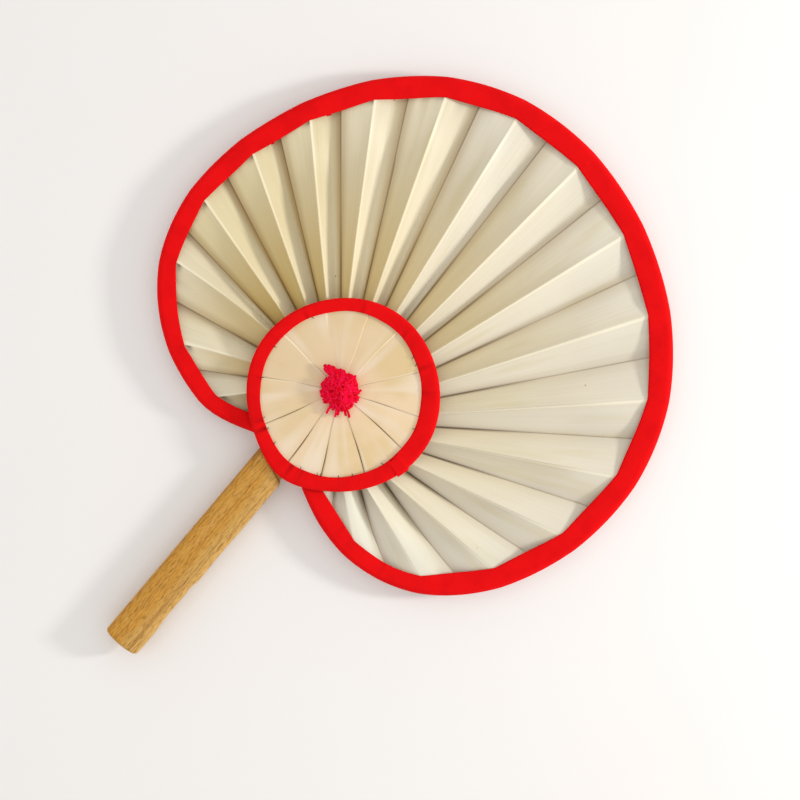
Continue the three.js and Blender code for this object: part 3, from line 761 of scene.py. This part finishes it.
def around(paths, radii, sides):
    """Rings of points about paths, tube by row, square to each path's own direction."""
    along = unit(np.gradient(paths, axis=1))
    aside = unit(np.cross(along, np.where(np.abs(along[..., 2:]) > 0.9, (1.0, 0, 0), (0, 0, 1.0))))
    above = np.cross(along, aside)
    turn = np.linspace(0, 2 * np.pi, sides, endpoint=False)[:, None]
    spread = np.cos(turn) * aside[..., None, :] + np.sin(turn) * above[..., None, :]
    return paths[..., None, :] + spread * np.broadcast_to(radii, paths.shape[:2])[..., None, None]


def plain_material(name, color, roughness):
    """One colour, only clouded a little, for thread and cord."""
    material, tree, shader = new_material(name)
    cloud = noise(tree, object_place(tree), 2, scale=1500)
    dress(tree, shader, tint(tree, cloud, color, seen(0, 0, 0), 0.4), roughness)
    return material


black_thread = plain_material("black thread", seen(26, 18, 18), 0.8)
# Each stitch is a low arch across the tape's inner edge, a little slanted.
stitch_share = np.linspace(-1, 1, stitch_rows)[None, :, None]
stitch_turn = (ring_start - stitch_headings) % 360
edge_width = np.interp(stitch_turn, ring_turn, ring_widths)[:, None, None]
edge_out = np.interp(stitch_turn, ring_turn, ring_out)[:, None, None]
stitch_ray = heading(stitch_headings)[:, None, :]
stitch_out = edge_out - edge_width + stitch_share * stitch_length / 2
stitch_aside = stitch_ray[..., ::-1] * (-1, 1) * stitch_share * stitch_slant
stitch_place = hub + stitch_ray * stitch_out + stitch_aside
stitch_top = ring_middle + ring_half_height - ring_dip - stitch_rise
stitch_top = stitch_top + stitch_rise * (stitch_arch - stitch_share**2)
for face, side in faces:
    level = np.broadcast_to(blade_level + side * stitch_top, stitch_place[..., :1].shape)
    stitch_paths = np.concatenate([stitch_place, level], -1)
    stitches = tubes(f"{face}_stitches", around(stitch_paths, stitch_radius, stitch_sides))
    fit(stitches, black_thread, "red_cloth")

# The handle. One bar of golden wood, sawn, rounded by hand and sanded but not varnished. Its upper end
# is sawn on a slant and shouldered down to a flat tongue, which is clamped between the two rosettes.
handle_low, handle_high = np.array(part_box("handle"))
handle_middle = (handle_low + handle_high)[0] / 2
handle_width, handle_thickness = (handle_high - handle_low)[[0, 2]]
handle_end, tongue_end = handle_low[1], handle_high[1]
bar_length, shoulder_turn, slant_run = 117.3 * mm, 22, 30 * mm
shoulder, shoulder_slope = handle_end + bar_length, np.tan(np.radians(shoulder_turn))
handle_edge, bar_round = 1.8 * mm, 3.6
tongue_width, tongue_round, tongue_edge, tongue_step = 17 * mm, 7, 1.5 * mm, 0.8 * mm
tongue_thickness = handle_thickness - 2 * tongue_step
dent_from_hub, dent_length, dent_depth = 122 * mm, 3 * mm, 0.7 * mm
chip_length, chip_depth, chip_start, chip_end = 30 * mm, 0.5 * mm, 2 * mm, 10 * mm
side_waver, side_waver_length = 0.15 * mm, 6 * mm
end_bow, end_run = 0.96 * mm, 6 * mm
# Where the bar's side that faces the light is painted paler, and where the step to the tongue is painted
# in shadow
lit_band_from, lit_band_to, lit_band_sway = 4 * mm, 10 * mm, 9 * mm
lit_edge_from, lit_edge_to = 8 * mm, 12 * mm
tongue_shadow_from, tongue_shadow_to, face_skin, tongue_skin = 8 * mm, 2 * mm, 0.5 * mm, 0.75 * mm
handle_sides, edge_rows, bar_rows = 96, 7, 90


def handle_rings():
    """The bar as rings of a rounded rectangle down its length: tongue, slanted shoulder with a softened
    edge, bar, softened end, whose middle stands out. The bar's right side has a dent with a shaved chip
    below it."""
    soft = np.linspace(0, np.pi / 2, edge_rows)
    inset, back = handle_edge * (1 - np.sin(soft)), handle_edge * (1 - np.cos(soft))
    bar = np.linspace(shoulder - handle_edge, handle_end + handle_edge, bar_rows)[1:-1]
    y = np.concatenate([[tongue_end, tongue_end - tongue_edge, shoulder], shoulder - back, bar,
                        handle_end + back[::-1]])
    inset = np.concatenate([inset, np.zeros(bar.size), inset[::-1]])
    tongue = [tongue_width - 2 * tongue_edge, tongue_width, tongue_width]
    width = np.concatenate([tongue, handle_width - 2 * inset])
    thick = np.concatenate([np.full(len(tongue), tongue_thickness), handle_thickness - 2 * inset])
    power = np.concatenate([np.full(len(tongue), tongue_round), np.full(inset.size, bar_round)])[:, None]
    slant = shoulder_slope * ease((y - shoulder + slant_run) / slant_run) * (y <= shoulder)
    turn = np.linspace(0, 2 * np.pi, handle_sides, endpoint=False)[None, :]
    x = width[:, None] / 2 * np.sign(np.cos(turn)) * np.abs(np.cos(turn)) ** (2 / power)
    z = thick[:, None] / 2 * np.sign(np.sin(turn)) * np.abs(np.sin(turn)) ** (2 / power)
    below = hub[1] - dent_from_hub - y
    edge_marks = dent_depth * hump(below, dent_length)
    edge_marks = edge_marks + chip_depth * ease(below / chip_start) * ease((chip_length - below) / chip_end)
    edge_marks = edge_marks + side_waver * np.sin(y / side_waver_length) * (y < shoulder)
    x = x - edge_marks[:, None] * np.clip(2 * x / handle_width, 0, 1) ** 4
    at_end = ease((handle_end + end_run - y) / end_run)[:, None]
    bow = end_bow * at_end * (2 * x / handle_width) ** 2
    return np.stack([handle_middle + x, y[:, None] - slant[:, None] * x + bow, blade_level + z], -1)


def wood_material():
    """Golden wood: fine grain along the bar, short dark pores, some of them dusty, a broad stripe of
    painted light down the side that faces the light, and painted shadow on the step down to the tongue,
    which the ring shades."""
    material, tree, shader = new_material("golden wood")
    x, y, z = add(tree, "ShaderNodeSeparateXYZ", {"Vector": object_place(tree)}).outputs

    def grain(across, along, detail):
        """Noise drawn out along the bar."""
        drawn_out = stretch(tree, times(tree, x, across), times(tree, y, along), times(tree, z, across))
        return noise(tree, drawn_out, detail)

    # Painted light: a broad pale stripe and a paler edge down the side that faces the light.
    sway = times(tree, grain(60, 25, 3), lit_band_sway)
    place = work(tree, "ADD", x, sway)
    lit_band = span(tree, place, handle_middle + lit_band_from, handle_middle + lit_band_to)
    color = tint(tree, lit_band, seen(207, 147, 52), seen(212, 164, 86))
    place = work(tree, "ADD", x, times(tree, sway, 0.3))
    pale = span(tree, place, handle_middle + lit_edge_from, handle_middle + lit_edge_to)
    color = tint(tree, pale, color, seen(216, 178, 108), 0.4)
    color = tint(tree, span(tree, grain(1000, 10, 3), 0.5, 0.68), color, seen(150, 96, 32), 0.5)
    color = tint(tree, span(tree, grain(260, 12, 2), 0.5, 0.75), color, seen(216, 166, 88), 0.35)
    color = tint(tree, span(tree, grain(2700, 240, 2), 0.5, 0.64), color, seen(126, 76, 20), 0.6)
    color = tint(tree, span(tree, grain(2500, 300, 1), 0.53, 0.68), color, seen(228, 184, 108), 0.35)
    from_middle = work(tree, "ABSOLUTE", work(tree, "SUBTRACT", z, blade_level))
    half = handle_thickness / 2
    # Painted shadow on the step down to the tongue, which the ring shades.
    tongue = span(tree, from_middle, half - face_skin, half - tongue_skin)
    tongue_shadow = times(tree, span(tree, y, shoulder - tongue_shadow_from, shoulder - tongue_shadow_to), tongue)
    color = tint(tree, tongue_shadow, color, seen(104, 48, 12), 0.4)
    dress(tree, shader, color, 0.6, 0.3)
    roughen(tree, shader, grain(1200, 60, 2), 0.3, 0.3 * mm)
    return material


handle = tubes("handle_bar", handle_rings()[None])
fit(handle, wood_material(), "handle_wood", "handle")

# The tie. A pink wool cord that goes through the tongue and both rosettes, holds the tuft in front and
# ends behind in a small flat knot.
tie_radius, knot_size, knot_radius = 0.9 * mm, 0.95 * mm, 0.42 * mm
tie_middle = hub + rosette_shift
tie_low, tie_high = np.array(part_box("tuft_tie"))
tie_rows, tie_sides = 97, 10
knot_gap, knot_room, knot_wave = 0.02, 0.15 * mm, 0.12 * mm
# The knot goes twice round the tie's middle, and swings in and out three times on the way.
turn = np.linspace(knot_gap, 2 * np.pi - knot_gap, tie_rows)
swing = knot_size * (2 + np.cos(3 * turn))
knot_level = tie_low[2] + knot_radius + knot_room
knot = np.stack([tie_middle[0] + swing * np.cos(2 * turn), tie_middle[1] + swing * np.sin(2 * turn),
                 knot_level + knot_wave * np.sin(3 * turn)], -1)
shaft = np.stack([np.full(tie_rows, tie_middle[0]), np.full(tie_rows, tie_middle[1]),
                  np.linspace(knot_level, tie_high[2], tie_rows)], -1)
tie_radii = np.stack([np.full(tie_rows, knot_radius), np.full(tie_rows, tie_radius)])
tie = tubes("tie_cord", around(np.stack([knot, shaft]), tie_radii, tie_sides))
fit(tie, plain_material("wool cord", seen(232, 16, 60), 0.9), "pink_wool", "tuft_tie")

# The tuft. Cut pink-red wool yarn, hundreds of ends standing out of the tie in a low dome. A few longer
# ends slipped out between them, and a pointed lock of them stands out on one side.
tuft_low, tuft_high = np.array(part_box("tuft"))
tuft_radius, tuft_room = 9.6 * mm, 0.4 * mm
tuft_height = (tuft_high - tuft_low)[2] - tuft_room
core_share, core_top, core_rows, core_sides = 0.84, 0.48 * np.pi, 12, 40
yarn_radius, yarn_rows, yarn_sides = 0.6 * mm, 9, 6
curl_count, curl_reach, curl_bend, curl_low, curl_bow = 240, 0.32, 0.25, 0.78, 0.14
lump, three_lumps = 0.06, 0.08
end_count, end_highest, end_start, end_spread = 90, 0.5, 0.6, 0.08
end_swing, end_waves, end_droop, end_level = 0.9 * mm, 2.5, 1.4 * mm, 1.5 * mm
lock_heading, lock_length, lock_left, lock_right, lock_count = 71, 15.8 * mm, 0.9 * mm, 7 * mm, 34
lock_start, lock_left_slope, lock_right_slope, lock_rag = 0.4, 2.4, 0.95, 0.9 * mm
lock_taper, lock_wave, lock_waves, lock_offset = 0.15, 0.4 * mm, 7, 900
lock_high, lock_drop = 3.4, 1.6
# Each stray end's heading, and how far from the tuft's middle it reaches in mm
strays = {-172: 13, -152: 13, -148: 12, -125: 13.9, -122: 12.5, -50: 10.4, -14: 10.6, 30: 10.4,
          110: 10.2}
stray_rise, core_shade = 0.1, 0.2
up_shake, turn_shake = 0.03, 0.2
tuft_middle = np.array([*tie_middle, tuft_low[2]])
tuft_radii = np.array([tuft_radius, tuft_radius, tuft_height])
draw = np.random.default_rng(11)


def dome(count, highest):
    """Directions spread evenly over a half ball up to a height, a golden turn apart, a little shaken."""
    step = np.arange(count) + 0.5
    up = np.clip(step / count * highest + draw.normal(0, up_shake, count), 0.02, 0.99)
    turn = np.pi * (1 + 5**0.5) * step + draw.normal(0, turn_shake, count)
    side = np.sqrt(1 - up**2)
    return np.stack([side * np.cos(turn), side * np.sin(turn), up], -1)


def curl_paths(way, rows):
    """Curled bits of yarn on the dome: each runs over it through its own place in a short bent arc,
    highest in the middle, with both ends in among the others. The dome is a little lumpy."""
    share = np.linspace(-1, 1, rows)[None, :, None]
    along = unit(np.cross(way, draw.normal(0, 1, way.shape)))
    aside = np.cross(way, along)
    bend = draw.normal(0, curl_bend, (len(way), 1, 1))
    bent = along[:, None] * share + aside[:, None] * bend * (share**2 - 0.5)
    lumps = 1 + lump * np.sin(9 * way[:, :1] + 2) * np.sin(8 * way[:, 1:2] + 1)
    lumps = lumps * (1 + three_lumps * np.sin(3 * np.arctan2(way[:, 1:2], way[:, :1]) - 2.9))
    height = (curl_low + curl_bow * (1 - share**2)) * lumps[:, None]
    return tuft_middle + unit(way[:, None] + curl_reach * bent) * height * tuft_radii


def end_paths(way, length, start, rows):
    """Loose ends: each leaves the dome in its own direction, swings aside and droops."""
    share = np.linspace(0, 1, rows)[None, :, None]
    aside = np.stack([-way[:, 1], way[:, 0], np.zeros(len(way))], -1)
    size = draw.normal(0, end_swing, (len(way), 1, 1))
    swing = size * np.sin(end_waves * share + draw.uniform(0, 3, (len(way), 1, 1)))
    out = start * tuft_radius + (length[:, None, None] - start * tuft_radius) * share
    droop = np.array([0, 0, -end_droop]) * share**2
    flat = np.array([1, 1, tuft_height / tuft_radius])
    root = tuft_middle + (0, 0, end_level)
    return root + way[:, None] * out * flat + aside[:, None] * swing * share + droop


def lock_paths(rows):
    """The pointed lock: yarns side by side, the longest at the point and the others shorter by a slope,
    steep on the left and gentle on the right. Each waves, draws in and sinks on its way out."""
    place = np.linspace(-lock_right, lock_left, lock_count)[:, None, None]
    share = np.linspace(0, 1, rows)[None, :, None]
    slope = np.where(place > 0, lock_left_slope, lock_right_slope)
    length = lock_length - slope * np.abs(place)
    length = length - np.abs(draw.normal(0, lock_rag, place.shape))
    root = lock_start * tuft_radius
    out = root + share * (length - root)
    waves = lock_wave * np.sin(lock_waves * share + lock_offset * place)
    aside = place * (1 - lock_taper * share) + waves
    level = (lock_high - lock_drop * share) * mm + 0 * out
    flat = heading(lock_heading) * out + heading(lock_heading + 90) * aside
    return tuft_middle + np.concatenate([flat, level], -1)


def wool_material():
    """Dyed wool: each bit of yarn its own shade between crimson and hot pink, with flecks of painted
    highlight.
    """
    material, tree, shader = new_material("pink wool")
    color = tint(tree, kept_value(tree, "shade"), seen(222, 0, 16), seen(250, 10, 68))
    # Painted highlights: pale pink flecks.
    fleck_highlight = span(tree, noise(tree, object_place(tree), 2, scale=1100), 0.56, 0.7)
    color = tint(tree, fleck_highlight, color, seen(255, 80, 120), 0.45)
    dress(tree, shader, color, 0.95, 0.1)
    return material


pink_wool = wool_material()
# A plain half ball fills the inside of the tuft.
core_rise = np.linspace(0, core_top, core_rows)[:, None]
core_turn = np.linspace(0, 2 * np.pi, core_sides, endpoint=False)[None, :]
core_ball = np.stack([np.cos(core_rise) * np.cos(core_turn), np.cos(core_rise) * np.sin(core_turn),
                      np.sin(core_rise) + 0 * core_turn], -1)
core = tubes("tuft_core", (tuft_middle + core_ball * tuft_radii * core_share)[None])
mark(core, "shade", core_shade)
fit(core, pink_wool, "pink_wool")

stray_lengths = np.array(list(strays.values())) * mm
stray_way = np.c_[heading(np.array(list(strays))), np.full(len(strays), stray_rise)]
end_way = np.concatenate([dome(end_count, end_highest), stray_way])
end_shares = draw.uniform(1 - end_spread, 1 + end_spread, end_count)
end_length = np.concatenate([tuft_radius * end_shares, stray_lengths])
ends = end_paths(end_way, end_length, end_start, yarn_rows)
lock = lock_paths(yarn_rows)
curls = curl_paths(dome(curl_count, 1), yarn_rows)
yarn_paths = np.concatenate([curls, ends, lock])
yarns = tubes("tuft_yarn", around(yarn_paths, yarn_radius, yarn_sides))
mark(yarns, "shade", np.repeat(draw.uniform(0, 1, len(yarn_paths)), yarn_rows * yarn_sides))
fit(yarns, pink_wool, "pink_wool", "tuft")

# The stage: a pale table, a near window's light from the right, an even room light, and a camera
# straight above the fan, turned so that the handle points to the lower left.
photo_turn = 40.2
view_middle = hub + np.array([22.9, 16.4]) * mm
view_width = 400 * mm
bpy.ops.mesh.primitive_plane_add(size=8)
floor = bpy.context.object
floor.name = "table"
material, tree, shader = new_material("pale table")
clouds = noise(tree, object_place(tree), 2, scale=6)
dress(tree, shader, tint(tree, clouds, seen(249, 246, 242), seen(246, 241, 237)), 0.6)
floor.data.materials.append(material)

world = bpy.data.worlds.new("room")
world.use_nodes = True
world.node_tree.nodes["Background"].inputs["Color"].default_value = (1, 1, 1, 1)
world.node_tree.nodes["Background"].inputs["Strength"].default_value = 0.82
bpy.context.scene.world = world

lamp_rise, lamp_distance = np.radians(22.5), 1.1
lamp_data = bpy.data.lights.new("window", "AREA")
lamp_data.shape = "SQUARE"
lamp_data.size = 0.14
lamp_data.energy = 5.75
lamp = bpy.data.objects.new("window", lamp_data)
lamp_turn = np.radians(photo_turn)
lamp.location = (hub[0] + lamp_distance * np.cos(lamp_rise) * np.cos(lamp_turn),
                 hub[1] + lamp_distance * np.cos(lamp_rise) * np.sin(lamp_turn),
                 lamp_distance * np.sin(lamp_rise))
lamp.rotation_euler = (np.pi / 2 - lamp_rise, 0, lamp_turn + np.pi / 2)
bpy.context.collection.objects.link(lamp)

camera_data = bpy.data.cameras.new("camera")
camera_data.lens = 85
camera_data.sensor_width = 36
camera = bpy.data.objects.new("camera", camera_data)
camera.location = (*view_middle, blade_level + view_width * camera_data.lens / camera_data.sensor_width)
camera.rotation_euler = (0, 0, np.radians(photo_turn))
bpy.context.collection.objects.link(camera)
bpy.context.scene.camera = camera
bpy.context.scene.view_settings.view_transform = "Standard"
